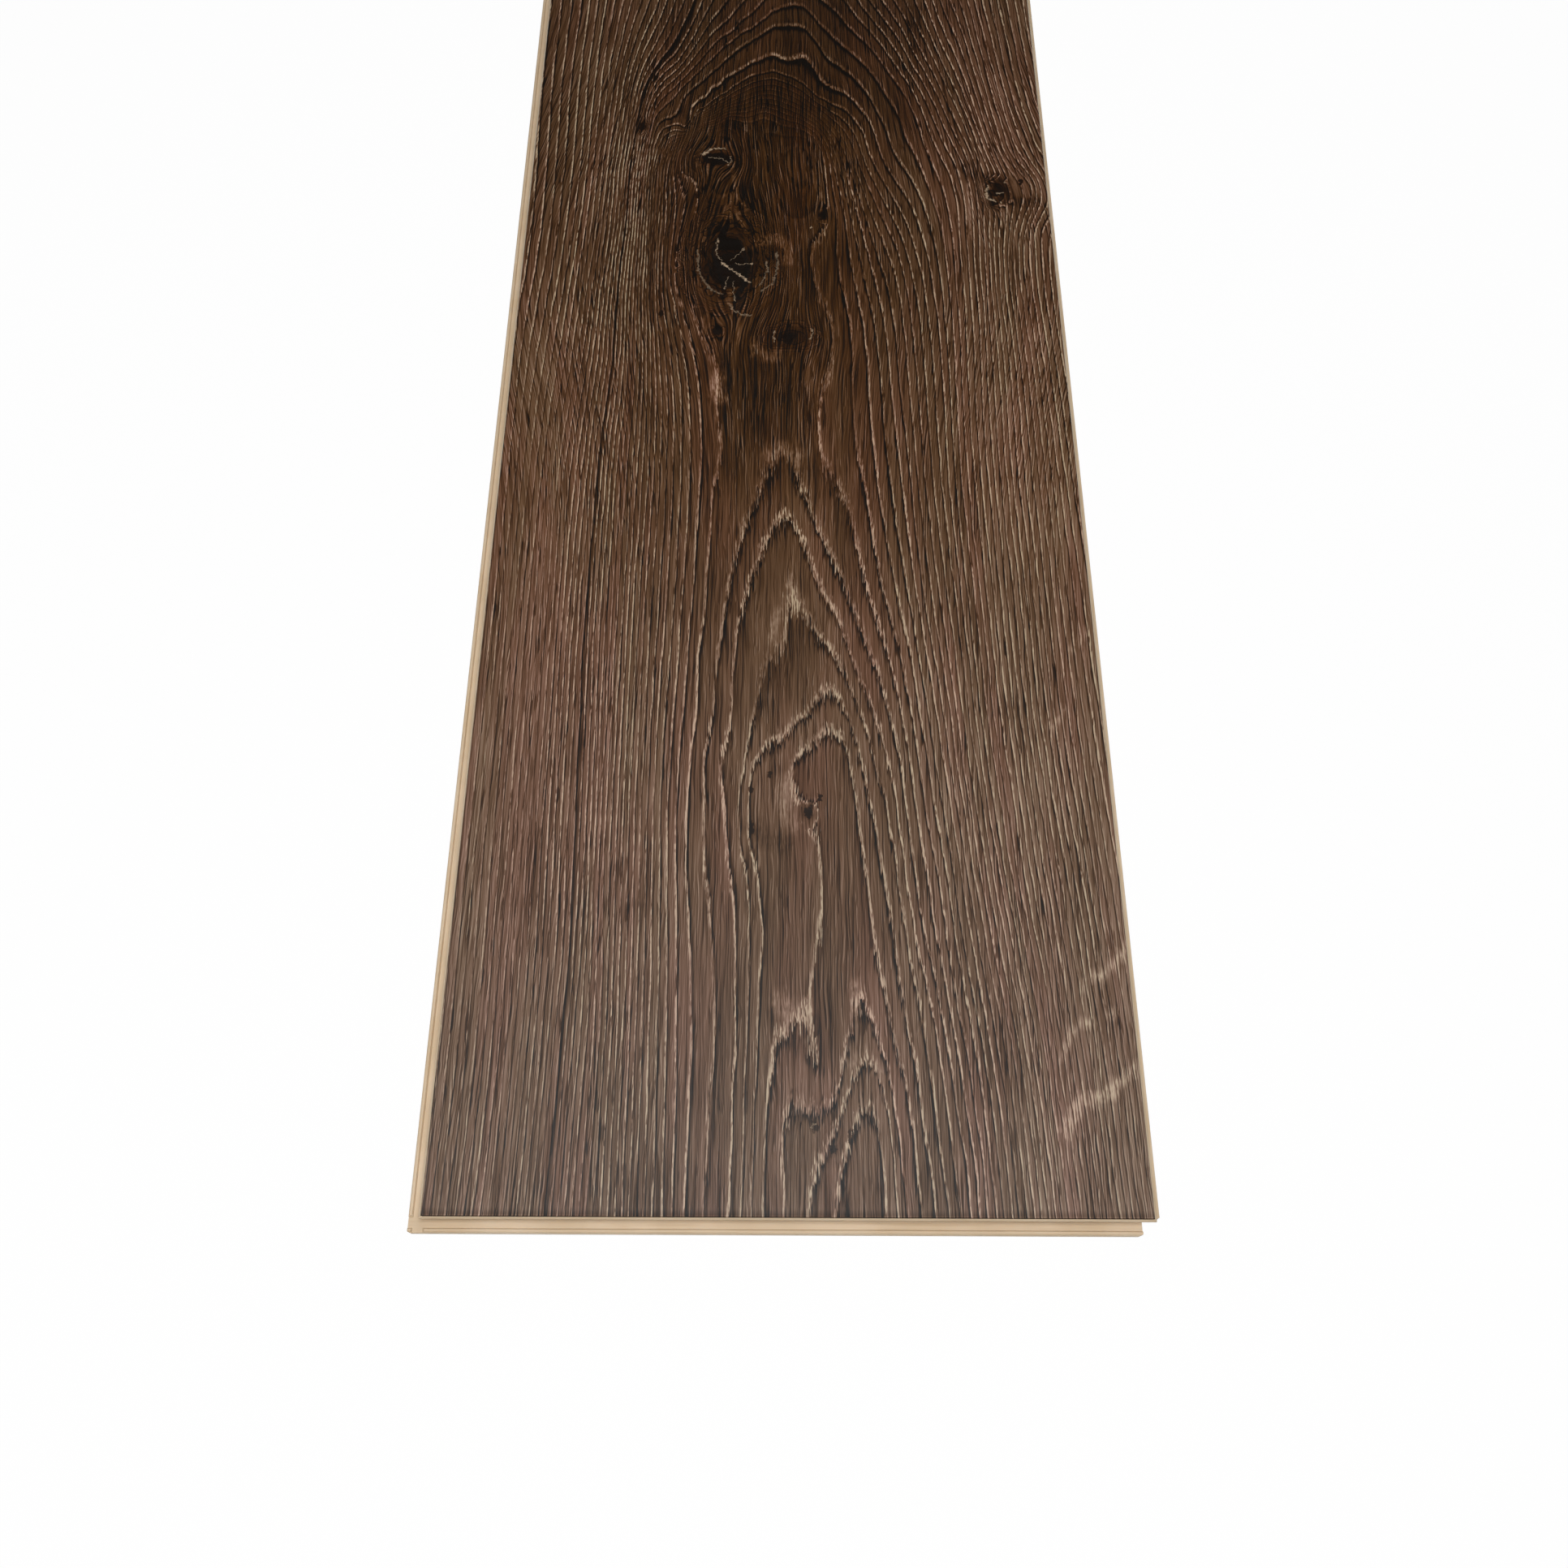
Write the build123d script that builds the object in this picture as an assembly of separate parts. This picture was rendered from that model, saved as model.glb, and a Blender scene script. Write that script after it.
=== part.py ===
"""Click-lock vinyl floor plank: a cream rigid core board with a printed wear layer bonded on top.

The left long edge and the near short end carry the groove and a locking lip. The right long
edge and the far short end carry the tongue and the recess that takes the next plank's lip.
Frame: origin at the middle of the laid face on the underside, +Y along the plank from the lip
end to the tongue end, +X from the lip side to the tongue side, +Z up to the printed face.
"""

import os

from build123d import *

# Driving dimensions, in millimetres
face_width = 228.6  # laid width, joint line to joint line
face_length = 1219.2  # laid length, joint line to joint line
board_thickness = 6.5  # underside to printed face
film_thickness = 0.5  # printed film with its clear wear layer
edge_bevel = 0.9  # 45 degree bevel round the printed face, measured on the joint line

# Locking lip, on the left edge and the near end
lip_reach = 3.8  # past the joint line
lip_floor = 2.1  # height of the lip's flat above the underside
ridge_height = 0.8  # locking ridge above that flat
ridge_top = 0.7  # flat on the ridge
ridge_slope = 0.4  # run of the ridge's locking face
lip_nose = 0.4  # chamfer on the lip's outer edge

# Groove under the upper jaw, and the tongue that enters it
groove_depth = 1.5  # behind the joint line
groove_height = 2.3  # lip flat to the roof at the mouth
roof_draft = 0.3  # the roof drops by this to the groove's back
tongue_relief = 0.7  # slope under the tongue and in the groove, for angling in
joint_clearance = 0.1  # between a plank and its neighbour, below the joint face

# Cutter radii and the eased corners of the lips
root_radius = 0.35  # groove's back corners and the tongue's tip
arris_radius = 0.15  # groove's mouth and the tongue's root
ease_along = 1.1
ease_in = 0.4

# Derived heights and reaches
core_top = board_thickness - film_thickness
core_bevel = edge_bevel - film_thickness
joint_top = board_thickness - edge_bevel
roof = lip_floor + groove_height
ridge_crest = lip_floor + ridge_height
ridge_foot = lip_reach - lip_nose - ridge_top - ridge_slope
tongue_reach = groove_depth - joint_clearance
recess = lip_reach + joint_clearance

# Vertical planes for the two sections: across the plank and along it, both with y up
across = Plane((0, 0, 0), x_dir=(1, 0, 0), z_dir=(0, -1, 0))
along = Plane((0, 0, 0), x_dir=(0, 1, 0), z_dir=(1, 0, 0))


def lip_profile():
    """Corners (out from the joint line, up, radius) of a lip edge, from the underside to the core's top."""
    return [
        (lip_reach, 0, 0),
        (lip_reach, ridge_crest - lip_nose, 0),
        (lip_reach - lip_nose, ridge_crest, 0),
        (ridge_foot + ridge_slope, ridge_crest, 0),
        (ridge_foot, lip_floor, 0),
        (tongue_relief - groove_depth, lip_floor, 0),
        (-groove_depth, lip_floor + tongue_relief, root_radius),
        (-groove_depth, roof - roof_draft, root_radius),
        (0, roof, arris_radius),
        (0, joint_top, 0),
        (-core_bevel, core_top, 0),
    ]


def tongue_profile():
    """Corners of a tongue edge, from the core's top to the underside: the lip edge's counterpart."""
    tongue_top = roof - joint_clearance
    tongue_under = lip_floor + joint_clearance
    recess_roof = ridge_crest + joint_clearance
    hook = ridge_foot - joint_clearance
    return [
        (-core_bevel, core_top, 0),
        (0, joint_top, 0),
        (0, tongue_top, arris_radius),
        (tongue_reach, tongue_top - roof_draft, root_radius),
        (tongue_reach, tongue_under + tongue_relief, root_radius),
        (tongue_reach - tongue_relief, tongue_under, 0),
        (-hook, tongue_under, 0),
        (-hook - ridge_slope, recess_roof, 0),
        (-recess, recess_roof, 0),
        (-recess, 0, 0),
    ]


def board_section(face_size):
    """Whole section of the core over one face size: lip edge at the low end, tongue edge at the high end."""
    corners = [(-face_size / 2 - out, up, radius) for out, up, radius in lip_profile()]
    corners += [(face_size / 2 + out, up, radius) for out, up, radius in tongue_profile()]
    section = make_face(Polyline(*[(side, up) for side, up, _ in corners], close=True))
    for radius in (root_radius, arris_radius):
        places = [Vector(side, up) for side, up, r in corners if r == radius]
        rounded = [v for v in section.vertices() if any((Vector(v) - p).length < 1e-6 for p in places)]
        section = fillet(rounded, radius)
    return section


def corner_clearing(x_from, y_from, x_to, y_to):
    """Block that clears a corner of the board at full height, where a lip ends short."""
    middle = Pos((x_from + x_to) / 2, (y_from + y_to) / 2)
    clearing = Rectangle(abs(x_to - x_from), abs(y_to - y_from))
    return extrude(middle * clearing, amount=board_thickness)


def eased_corner(x, y, run_x, run_y):
    """Wedge that takes the sharp corner off a lip; the runs point into the lip."""
    wedge = make_face(Polyline((x, y), (x + run_x, y), (x, y + run_y), close=True))
    return extrude(wedge, amount=board_thickness)


def core_board():
    """Cream rigid core: the section across, run the length, and its ends milled to the section along."""
    run = lip_reach + board_thickness  # each section is run this far past the joint lines
    milled_long = extrude(across * board_section(face_width), amount=face_length / 2 + run, both=True)
    milled_ends = extrude(along * board_section(face_length), amount=face_width / 2 + run, both=True)
    board = milled_long & milled_ends
    # Each lip stops where the recess of the edge beside it begins
    left, near = -face_width / 2, -face_length / 2
    lip_right = face_width / 2 - recess
    lip_far = face_length / 2 - recess
    board -= corner_clearing(lip_right, near, face_width / 2 + run, near - run)
    board -= corner_clearing(left, lip_far, left - run, face_length / 2 + run)
    # The three free corners of the lips are eased
    board -= eased_corner(left - lip_reach, near - lip_reach, ease_along, ease_in)
    board -= eased_corner(lip_right, near - lip_reach, -ease_along, ease_in)
    board -= eased_corner(left - lip_reach, lip_far, ease_in, -ease_along)
    return board


def decor_layer():
    """Printed film with its wear layer, cut back by the 45 degree bevel on all four sides."""
    foot = Rectangle(face_width - 2 * core_bevel, face_length - 2 * core_bevel)
    return extrude(Pos(0, 0, core_top) * foot, amount=film_thickness, taper=45)


os.makedirs("parts", exist_ok=True)
export_step(core_board(), "parts/core_board.step")
export_step(decor_layer(), "parts/decor_layer.step")
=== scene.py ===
import math

import bpy
import numpy as np
from mathutils import Matrix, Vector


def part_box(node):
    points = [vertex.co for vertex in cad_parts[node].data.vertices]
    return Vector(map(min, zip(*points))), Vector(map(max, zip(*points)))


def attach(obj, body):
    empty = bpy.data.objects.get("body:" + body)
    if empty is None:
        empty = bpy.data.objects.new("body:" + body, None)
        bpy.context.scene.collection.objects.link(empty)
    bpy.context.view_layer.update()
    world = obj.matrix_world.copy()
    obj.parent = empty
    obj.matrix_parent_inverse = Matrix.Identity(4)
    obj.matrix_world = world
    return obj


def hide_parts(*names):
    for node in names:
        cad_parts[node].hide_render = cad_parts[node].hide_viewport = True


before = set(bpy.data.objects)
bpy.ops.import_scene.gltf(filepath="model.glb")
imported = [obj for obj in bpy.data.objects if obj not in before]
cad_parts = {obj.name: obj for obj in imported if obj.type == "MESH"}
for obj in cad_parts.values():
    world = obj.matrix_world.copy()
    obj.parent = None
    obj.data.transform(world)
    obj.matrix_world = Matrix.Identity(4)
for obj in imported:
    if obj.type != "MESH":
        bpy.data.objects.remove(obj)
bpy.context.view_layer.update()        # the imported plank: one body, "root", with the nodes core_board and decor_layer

mm = 0.001

# Core board
# A rigid board of stone-filled vinyl, extruded in one cream colour all through. Its four edges are
# milled into click-lock lips and tongues, so what shows of it is the bare milled edge.

core_cream = (208, 184, 152)
core_pale = (218, 196, 167)
core_dull = (186, 159, 125)
core_speck = (96, 74, 54)
milling_pitch = 0.9      # mm between the cutter's streaks
milling_run = 45         # mm that a streak runs along the edge
milling_depth = 0.05     # mm
cloud_size = (18, 18, 6)  # mm of a soft cloud of tone
speck_size = (0.5, 0.5, 0.5)  # mm of the noise that the filler specks are cut from
core_glow = 1.0          # mm that light spreads inside the filled vinyl
end_zone = -608.9        # mm along the plank, where the near end's milled edge begins


def printed(colour):
    """Opaque scene-linear colour of an sRGB colour given as 0 to 255, by the sRGB curve."""
    share = np.asarray(colour) / 255
    linear = np.where(share <= 0.04045, share / 12.92, ((share + 0.055) / 1.055) ** 2.4)
    return (*linear.tolist(), 1.0)


class Finish:
    """The node tree of a material or a world, with one short method for each kind of node used here."""

    def __init__(self, owner, shader="Principled BSDF"):
        owner.use_nodes = True
        self.owner = owner
        self.tree = owner.node_tree
        self.shader = self.tree.nodes[shader]

    def node(self, kind, inputs, **settings):
        """Adds a node, sets its properties, then fills its inputs with values or other nodes' outputs."""
        made = self.tree.nodes.new("ShaderNode" + kind)
        for name, value in settings.items():
            setattr(made, name, value)
        for place, value in inputs.items():
            self.feed(made.inputs[place], value)
        return made

    def feed(self, socket, value):
        """Links an output to a socket, or sets the socket's own value."""
        if isinstance(value, bpy.types.NodeSocket):
            self.tree.links.new(value, socket)
        else:
            socket.default_value = value

    def sum(self, *terms):
        """Adds numbers or outputs, from left to right."""
        total = terms[0]
        for term in terms[1:]:
            total = self.node("Math", {0: total, 1: term}, operation="ADD").outputs[0]
        return total

    def times(self, *terms):
        """Multiplies numbers or outputs, from left to right."""
        product = terms[0]
        for term in terms[1:]:
            product = self.node("Math", {0: product, 1: term}, operation="MULTIPLY").outputs[0]
        return product

    def math(self, operation, value, other=0.0):
        """Any other sum on one or two numbers."""
        return self.node("Math", {0: value, 1: other}, operation=operation).outputs[0]

    def step(self, value, low, high, start=0.0, end=1.0):
        """Smooth step from start at low to end at high."""
        inputs = {"Value": value, "From Min": low, "From Max": high, "To Min": start, "To Max": end}
        return self.node("MapRange", inputs, interpolation_type="SMOOTHSTEP").outputs["Result"]

    def grain(self, place, size, seed, detail=1.0):
        """Noise from 0 to 1 whose blots have the given size in mm: along x and y, or along x, y and z."""
        scale = [1 / s for s in size]
        start = [seed * 7.3, seed * 3.1, seed * 11.7]
        if len(size) == 2:
            scale.append(0.0)
            start[2] = 0.0
        moved = self.node("VectorMath", {0: place, 1: scale, 2: start}, operation="MULTIPLY_ADD").outputs[0]
        inputs = {"Vector": moved, "Scale": 1.0, "Detail": detail}
        return self.node("TexNoise", inputs, noise_dimensions=f"{len(size)}D").outputs["Fac"]

    def shift(self, place, amount, direction):
        """Places moved by an amount times a direction."""
        inputs = {0: amount, 1: direction, 2: place}
        return self.node("VectorMath", inputs, operation="MULTIPLY_ADD").outputs[0]

    def mix(self, share, first, second, blend="MIX"):
        """Mixes two colours: none of the second at a share of 0, all of it at 1."""
        made = self.node("Mix", {0: share}, data_type="RGBA", blend_type=blend)
        self.feed(made.inputs[6], first)
        self.feed(made.inputs[7], second)
        return made.outputs[2]

    def ramp(self, value, stops):
        """Colour along a row of stops, each a place from 0 to 1 with its sRGB colour."""
        made = self.node("ValToRGB", {"Fac": value})
        elements = made.color_ramp.elements
        while len(elements) < len(stops):
            elements.new(1.0)
        for element, (place, colour) in zip(elements, stops):
            element.position = place
            element.color = printed(colour)
        return made.outputs["Color"]

    def read(self, name, output="Fac"):
        """Attribute that the piece's mesh carries."""
        return self.node("Attribute", {}, attribute_name=name).outputs[output]

    def place_mm(self):
        """Object coordinates in mm."""
        here = self.node("TexCoord", {}).outputs["Object"]
        return self.node("VectorMath", {0: here, "Scale": 1000.0}, operation="SCALE").outputs[0]


def milled_core():
    """Cream core: cutter streaks along the edge, soft clouds of tone, and rare dark filler specks."""
    finish = Finish(bpy.data.materials.new("milled_cream_core"))
    place = finish.place_mm()
    along = finish.node("SeparateXYZ", {0: place}).outputs["Y"]
    at_end = finish.math("LESS_THAN", along, end_zone)
    side_streak = finish.grain(place, (milling_pitch, milling_run, milling_pitch), 1, 2.0)
    end_streak = finish.grain(place, (milling_run, milling_pitch, milling_pitch), 2, 2.0)
    streak = finish.node("Mix", {0: at_end, 2: side_streak, 3: end_streak}).outputs[0]
    cloud = finish.grain(place, cloud_size, 3, 3.0)
    speck = finish.step(finish.grain(place, speck_size, 4), 0.80, 0.86)
    tone = finish.mix(finish.step(cloud, 0.3, 0.7), printed(core_cream), printed(core_pale))
    tone = finish.mix(finish.step(streak, 0.5, 0.8, 0.0, 0.45), tone, printed(core_dull))
    tone = finish.mix(finish.times(speck, 0.7), tone, printed(core_speck))
    finish.feed(finish.shader.inputs["Base Color"], tone)
    finish.feed(finish.shader.inputs["Roughness"], finish.step(streak, 0.2, 0.8, 0.5, 0.68))
    finish.shader.inputs["Subsurface Weight"].default_value = 0.3
    finish.shader.inputs["Subsurface Radius"].default_value = (1.0, 0.8, 0.55)
    finish.shader.inputs["Subsurface Scale"].default_value = core_glow * mm
    dent = finish.node("Bump", {"Strength": 0.2, "Distance": milling_depth * mm, "Height": streak})
    finish.feed(finish.shader.inputs["Normal"], dent.outputs["Normal"])
    return finish.owner


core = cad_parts["core_board"]
for slot in core.material_slots:
    slot.material = milled_core()

# Decor layer
# A vinyl film printed with flat-sawn dark oak under a clear wear layer, hot-pressed onto the core.
# The press embosses knots and grain into it, and its four sides are cut off at 45 degrees.

low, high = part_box("decor_layer")
foot_x = high[0] / mm
foot_y = high[1] / mm
film_foot = low[2] / mm
film_top = high[2] / mm
film = film_top - film_foot
face_x = foot_x - film
face_y = foot_y - film
columns = 321            # across the film
rows = 296               # along the film
end_press = 2.3          # mm at each end that the press plate's rim flattens
end_press_depth = 0.06   # mm
knot_depth = 0.10        # mm that the film dips at a black knot
halo_depth = 0.03        # mm, round a knot
swell_depth = 0.02       # mm of the slow swell
ripple_depth = 0.012     # mm from ring to ring
grain_draw = 6           # how many times longer a mark is along the grain than across it
ring_waver = 0.5         # mm that a ring's line wanders off its course
side_cut = 1.5           # count of the cut at the foot of a long side
end_cut = 1.0            # count of the cut at the foot of an end

# Growth rings of the figure, from the inside out. Each line holds a ring's count and places on
# it, in mm across and along, read off the photo.
growth_rings = [
    (8, [(17.8, -572), (20.2, -567), (24.1, -562.5), (28.8, -567), (31.2, -577), (32.8, -592),
         (33.5, -608)]),
    (9, [(14.7, -571), (16.3, -566), (17.1, -561), (20.2, -549), (22.6, -541), (26.5, -548),
         (28.8, -555), (32, -565), (33.8, -577), (34.8, -592), (36, -608)]),
    (9, [(-1, -600), (-2.2, -587), (-1, -579), (2.1, -573), (6.1, -576)]),
    (10, [(-8.1, -604), (-7.3, -581), (-5.7, -565), (-3.4, -552), (1.4, -546), (6.1, -551),
          (8.4, -559)]),
    (10, [(7.6, -545), (8, -533), (9.2, -522), (11.2, -510), (11.2, -494), (10, -482), (1.3, -460),
          (4.9, -450), (13, -443), (21, -451), (23.6, -467), (24.9, -482), (26.9, -498), (28, -518),
          (30.4, -533), (33.6, -549), (37, -565), (39.5, -585), (41, -608)]),
    (11, [(-11.5, -604), (-11, -573), (-10.2, -551), (-9.6, -533), (-10, -505), (-11.2, -493),
          (-14, -482), (-13.5, -458), (-7.7, -449), (-1.4, -445), (6.7, -435), (13, -426), (20, -433),
          (24.7, -446), (27.7, -463), (31.2, -490), (33.6, -510), (36, -530), (39.6, -553),
          (42.6, -581), (45, -604)]),
    (12, [(-14.8, -604), (-14.2, -573), (-13.4, -551), (-13, -533), (-13.4, -505), (-15, -493),
          (-17.2, -478), (-16, -456), (-14, -444), (-11.3, -429), (-6.8, -413), (-1.4, -403),
          (2.5, -386), (8, -393), (14.8, -406), (22, -421), (27.4, -435), (30.4, -450), (33.6, -467),
          (36, -490), (38.6, -510), (42, -535), (46, -565), (49, -604)]),
    (13, [(-18.4, -604), (-17.9, -581), (-17.1, -557), (-17.5, -533), (-18, -514), (-19.2, -500),
          (-21.4, -486), (-22.6, -470), (-24, -453), (-20.3, -417), (-18.5, -397), (-14, -376),
          (-9.5, -361), (-1.8, -347), (4, -355), (8.5, -367), (13, -381), (19.3, -397), (24.7, -415),
          (31, -433), (35, -453), (37.6, -475), (40, -500), (43.4, -522), (47.6, -545), (50.2, -573),
          (52.4, -604)]),
    (14, [(-26.1, -604), (-25.4, -573), (-24.2, -549), (-25.4, -526), (-27.7, -502), (-29.5, -482),
          (-29.2, -466), (-27, -435), (-24.8, -403), (-23, -385), (-19.4, -363), (-14, -340),
          (-6.8, -321), (-0.4, -317), (4, -333), (9.4, -350), (16.6, -368), (23.8, -388), (31, -410),
          (36.4, -433), (40, -455), (42, -480), (45, -510), (50, -541), (53.4, -573), (55.8, -604)]),
    (15, [(-32, -608), (-31.6, -573), (-32, -541), (-33.2, -518), (-35.2, -494), (-35.6, -471),
          (-35, -453), (-33, -408), (-31, -376), (-29.7, -339), (-26, -312), (-28, -301), (-29.5, -288),
          (-29, -278), (-31.5, -266), (-36, -254), (-42, -238), (-46.5, -220), (-45, -200), (-40, -182),
          (-42, -165), (-47, -148), (-41, -134), (-28, -127.5), (-12, -126), (3.5, -132), (11, -139),
          (14.5, -150), (15.5, -166), (16.5, -186), (10.5, -200), (9.1, -217), (10.9, -229),
          (14.6, -240), (17.4, -250), (15.1, -273), (11.6, -294), (12.1, -318), (17.5, -330),
          (23, -345), (26.5, -365), (30.4, -384), (36.6, -408), (41, -433), (44, -462), (48, -500),
          (53, -541), (56.6, -573), (59, -604)]),
    (24, [(-46.8, -136), (-43.6, -129), (-38.8, -121), (-34, -115), (-29.2, -111), (-23.6, -105),
          (-18, -100), (-12.4, -97), (-2, -97), (6.8, -104), (12.4, -111.6), (18.8, -117), (26, -124),
          (30, -131), (33.2, -138), (35, -149)]),
    (25, [(-49.2, -131), (-45.2, -122), (-40.4, -114), (-35.6, -107), (-30, -101), (-24.4, -97),
          (-18, -91.6), (-12.4, -87), (-5, -85.4), (4.4, -85.2), (9.2, -89), (12.4, -95.6),
          (16.4, -103.6), (22, -109), (27.6, -115), (32.4, -123), (36.4, -131), (39, -142)]),
    (26, [(-54, -126), (-49.2, -116), (-43.6, -107.6), (-38, -100), (-31.6, -92), (-25.2, -84),
          (-22, -79.6), (-17.2, -74), (-10.8, -69), (-6, -65), (-1.5, -62.5), (4.4, -64.5), (8.4, -69),
          (12.4, -76), (16.4, -86), (22, -92), (27.6, -99), (31.6, -105), (35.6, -113), (39.6, -123),
          (43.6, -133), (46, -145)]),
    (27, [(-61.2, -127), (-55.6, -116), (-49.2, -107), (-42, -97), (-35.6, -88), (-30, -80),
          (-24.4, -73), (-18, -67), (-10.8, -60), (-4.4, -52), (0, -47.5), (4.4, -50), (9.2, -56),
          (13.2, -64), (18.8, -72), (26, -81), (33.2, -91), (38, -99), (43.6, -110), (48.4, -122),
          (51.6, -138)]),
    (28, [(-14, -50), (-22, -61), (-26.5, -70), (14.8, -47.6), (22.8, -57), (30, -69), (36.4, -78),
          (42, -88), (47.6, -100), (53.2, -114), (58, -130)]),
    (31, [(-52, -90), (-36, -46), (-20, 20), (-11, 80), (38, -46), (56, -90), (73, -142), (75.4, -149),
          (78.8, -166), (79, -200), (79, -246), (78, -300), (79, -366), (81, -430), (86, -500),
          (92, -560), (95, -608), (22, 20), (13, 80)]),
    (33, [(-75, -608), (-73.5, -526), (-75.5, -446), (-76, -366), (-75, -306), (-73, -270), (-71, -190),
          (-69, -132)]),
    (36, [(84.8, -133), (87.3, -145.6), (90, -156), (90.8, -196)]),
    (40, [(94, -133), (96.6, -148.8), (101, -157.5), (103.5, -162.5), (106, -169), (105, -177),
          (101, -190), (99, -200)]),
    (43, [(103, -133), (105, -145.6), (108.5, -156), (112, -166), (113, -175), (109.7, -183),
          (106.6, -192.5), (106, -203)]),
]
# Count of rings at the two long edges, at a few places along
edge_rings = {-608: (49, 40), -500: (49, 42), -366: (49, 44), -246: (49, 45.5), -120: (49, 47), 0: (49, 49),
              200: (49, 50), 400: (47, 48), 608: (44, 45)}
# Plain wood between two rings: the heart inside ring 15, and the two tongues of the first flames
plain_wood = [
    (14.5, [(-15, -150), (-12, -175), (-20, -195), (-15, -235), (-8, -262), (-9, -290)]),
    (10.5, [(0, -470), (0, -485), (0, -505), (0, -525), (-1, -540)]),
    (9.5, [(15, -462), (18, -475), (18, -500), (19, -525), (13, -540)]),
]
# Mirrored flames of the far half: apex along, and the half width at the far end
far_flames = {30: (215, 58), 27: (290, 47), 24: (350, 38), 21: (420, 28), 18: (500, 17), 15: (580, 6)}
far_axis = 6             # mm across, the middle of these flames

# Slow shade of the print, in steps of tone: at places along the film, on the two flanks, and in patches.
# Along the film it is partly the print's darker figure by the heart and partly painted shade: darker
# from the near end towards the middle, where the near lamp's light falls off.
# A patch has its strength, then its middle and spread across and its middle and spread along.
shade_along = {-608: -0.01, -450: 0.01, -330: -0.04, -220: -0.085, -80: -0.12, 60: -0.1, 300: 0, 608: 0.02}
shade_patches = [
    (-0.04, 50, 14, -600, 32),
    (-0.05, -50, 25, -600, 45),
    (0.03, 62, 20, -450, 60),
    (-0.15, -26, 60, -195, 125),
    (-0.09, -6, 22, -285, 32),
    (-0.06, -5, 45, -115, 24),
    (-0.13, 14, 42, -60, 75),
]
middle_shade = -0.035
upper_flank_shade = 0.025
right_flank_shade = 0.03

# How rich the print's colour is: at places along the film, and richer by the heart
richness_along = {-608: 0.95, -450: 1.04, -330: 1.14, -80: 1.12, 100: 1.1, 608: 0.98}
richness_patches = [(0.1, -5, 40, -190, 120)]

# Patches where the print turns reddish
blush_patches = [(1, -88, 30, -440, 90), (1, 85, 30, -110, 80)]

# Where the rows of the film's grid crowd together: how much, middle along and spread
row_crowding = [(2.2, -195, 75), (1.3, -470, 60), (1.6, -575, 40), (0.9, -90, 60), (0.8, -350, 60)]
end_crowding = 9         # how much they crowd at the pressed ends

# Knots: middle across and along, half width, half length, how black, how strongly the grain parts round it
knots = [
    (-26.0, -212.5, 12.3, 18.0, 0.50, 1.0),
    (-25.2, -218.0, 9.4, 11.0, 0.8, 0.0),
    (-32.6, -152.4, 6.6, 4.0, 1.0, 0.8),
    (91.4, -171.0, 5.2, 7.0, 0.62, 0.6),
    (92.6, -168.5, 3.2, 4.4, 0.9, 0.0),
    (0.8, -255.4, 9.2, 5.4, 0.40, 0.45),
    (0.0, -255.2, 3.4, 3.0, 1.0, 0.0),
    (14.5, -186.4, 2.3, 2.8, 0.7, 0.8),
    (-30.0, -252.4, 2.5, 2.6, 0.6, 0.7),
    (-66.5, -133.0, 2.0, 3.2, 0.5, 0.7),
    (6.7, -471.8, 2.6, 3.6, 0.3, 0.5),
    (-22.0, 352.0, 4.0, 6.0, 0.9, 0.9),
    (31.0, 505.0, 2.4, 3.4, 0.9, 0.7),
]
# Ray flecks of the near right corner, pale patches and dark seams by the knots: ribbons, each with its
# half width, how pale it is (below 0, how dark), and its places
ribbons = [
    (1.2, 1.4, [(97.4, -533), (105, -530), (113.4, -521)]),
    (1.0, 1.1, [(89, -558), (92.2, -550), (96, -547), (108, -543.7)]),
    (1.9, 1.3, [(87.9, -582), (93.7, -572), (103.5, -570.5)]),
    (1.6, 1.3, [(103.5, -568), (105.7, -567), (111.7, -562)]),
    (0.7, 0.9, [(102, -407), (107, -402), (111.4, -396)]),
    (1.2, 0.9, [(95.7, -437), (100.2, -429)]),
    (2.6, 1.0, [(-16, -204), (-6, -199.5), (-1.5, -204), (-1, -213)]),
    (2.8, 1.5, [(-28.8, -276), (-30, -284), (-27, -288)]),
    (2.0, 1.3, [(-15, -259), (-13, -264), (-9, -266), (-5, -265)]),
    (0.9, 1.0, [(-25.5, -155), (-24.5, -168), (-23, -175), (-19, -183), (-26, -188)]),
    (0.8, 0.8, [(10, -160), (12, -170), (14.5, -176)]),
    (1.2, 0.9, [(14.8, -273), (12.0, -285), (11.4, -296), (12, -312)]),
    (1.0, 1.0, [(-36, -245), (-35, -254), (-32, -262), (-29, -272)]),
    (0.7, 1.0, [(78.8, -166), (78.9, -180), (78.6, -199)]),
    (2.4, 0.7, [(-2, -459), (-2.5, -465), (-1, -473), (2, -477)]),
    (3.2, 0.9, [(-3, -540), (2, -546), (5, -543)]),
    (3.2, 1.0, [(-8, -316), (-3, -313), (3, -317)]),
    (2.0, 1.1, [(0.5, -376), (2.5, -391)]),
    (1.4, 0.8, [(-4, -388), (-7, -402)]),
    (1.7, 0.8, [(22, -534), (23, -545)]),
    (1.8, 0.8, [(20.5, -561), (24.5, -557), (28.5, -563)]),
    (2.2, -0.8, [(79.5, -160.5), (84, -161.5), (88, -164)]),
    (2.5, -0.9, [(99, -176.5), (104, -177), (108, -175)]),
    (2.6, -0.7, [(88, -162), (92, -161), (96, -163)]),
    (2.0, -0.6, [(88, -178), (92, -180), (95, -179)]),
    (3.5, -0.5, [(-13, -477), (-8, -482), (-2, -484)]),
    (0.8, -0.8, [(14.6, -572.5), (14.6, -578), (14.2, -589), (16.7, -596.7), (18.3, -608)]),
    (4.0, -0.35, [(11, -577), (12, -588)]),
]


def smooth(value, start, end):
    """Smooth step from 0 at start to 1 at end."""
    share = np.clip((value - start) / (end - start), 0, 1)
    return share * share * (3 - 2 * share)


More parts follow.
